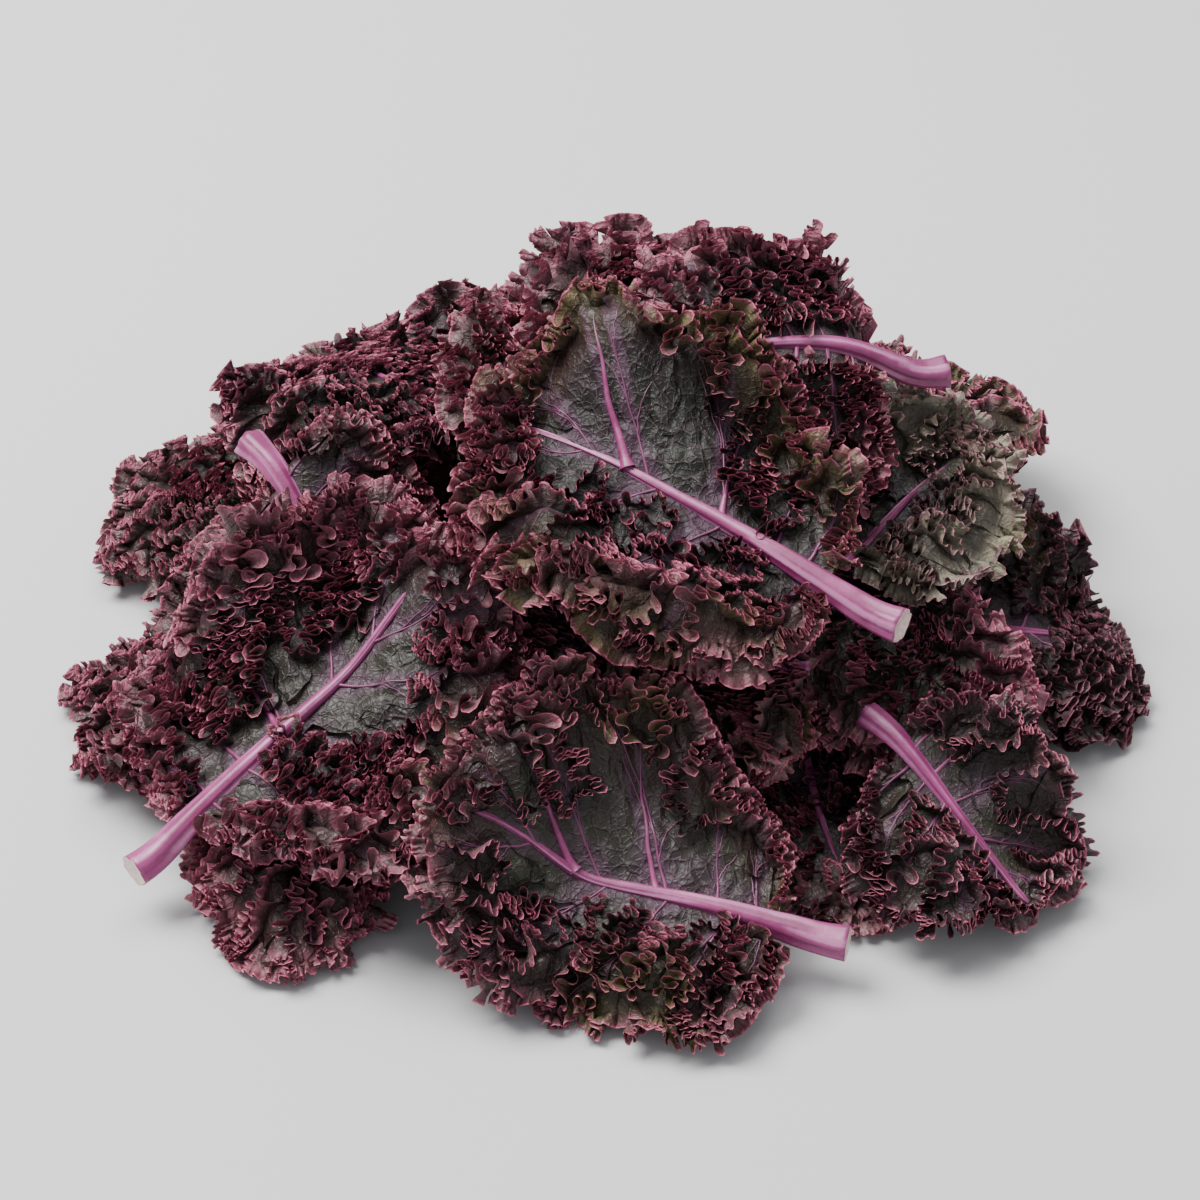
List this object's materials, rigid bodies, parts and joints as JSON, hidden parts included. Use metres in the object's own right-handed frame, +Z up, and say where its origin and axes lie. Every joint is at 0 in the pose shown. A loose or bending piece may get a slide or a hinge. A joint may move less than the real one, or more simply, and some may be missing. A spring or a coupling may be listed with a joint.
{
  "type": "kale bunch",
  "caption": "Loose heap of cut purple curly kale leaves, each a tightly ruffled blade on a tapering magenta stalk, lying on a table.",
  "frame": {"origin": "on the surface that the heap lies on, under the middle of the heap's box", "axes": "+Z up, +X to the right and -Y towards the viewer, who looks at the heap's front"},
  "size_m": [0.385, 0.3258, 0.1497],
  "materials": {
    "kale_blade": "crumpled waxy leaf, dark purple to grey-green, with thin pink edges",
    "kale_stalk": "smooth waxy stalk, magenta to pink, with a pale cut end"
  },
  "bodies": {
    "root": {"core_left_blade": "kale_blade", "core_left_stalk": "kale_stalk", "core_right_blade": "kale_blade", "core_right_stalk": "kale_stalk", "low_front_blade": "kale_blade", "low_front_stalk": "kale_stalk", "low_back_left_blade": "kale_blade", "low_back_left_stalk": "kale_stalk", "low_back_right_blade": "kale_blade", "low_back_right_stalk": "kale_stalk", "low_back_blade": "kale_blade", "low_back_stalk": "kale_stalk", "far_left_blade": "kale_blade", "far_left_stalk": "kale_stalk", "far_right_blade": "kale_blade", "far_right_stalk": "kale_stalk", "left_blade": "kale_blade", "left_stalk": "kale_stalk", "right_blade": "kale_blade", "right_stalk": "kale_stalk", "right_front_blade": "kale_blade", "right_front_stalk": "kale_stalk", "low_front_left_blade": "kale_blade", "low_front_left_stalk": "kale_stalk", "upper_left_blade": "kale_blade", "upper_left_stalk": "kale_stalk", "back_left_blade": "kale_blade", "back_left_stalk": "kale_stalk", "mid_back_blade": "kale_blade", "mid_back_stalk": "kale_stalk", "back_right_blade": "kale_blade", "back_right_stalk": "kale_stalk", "clump_blade": "kale_blade", "clump_stalk": "kale_stalk", "spire_blade": "kale_blade", "spire_stalk": "kale_stalk", "left_back_blade": "kale_blade", "left_back_stalk": "kale_stalk", "middle_blade": "kale_blade", "middle_stalk": "kale_stalk", "inner_blade": "kale_blade", "inner_stalk": "kale_stalk", "front_left_blade": "kale_blade", "front_left_stalk": "kale_stalk", "front_blade": "kale_blade", "front_stalk": "kale_stalk", "front_right_blade": "kale_blade", "front_right_stalk": "kale_stalk", "back_top_blade": "kale_blade", "back_top_stalk": "kale_stalk", "top_right_blade": "kale_blade", "top_right_stalk": "kale_stalk", "top_blade": "kale_blade", "top_stalk": "kale_stalk"}
  },
  "joints": []
}
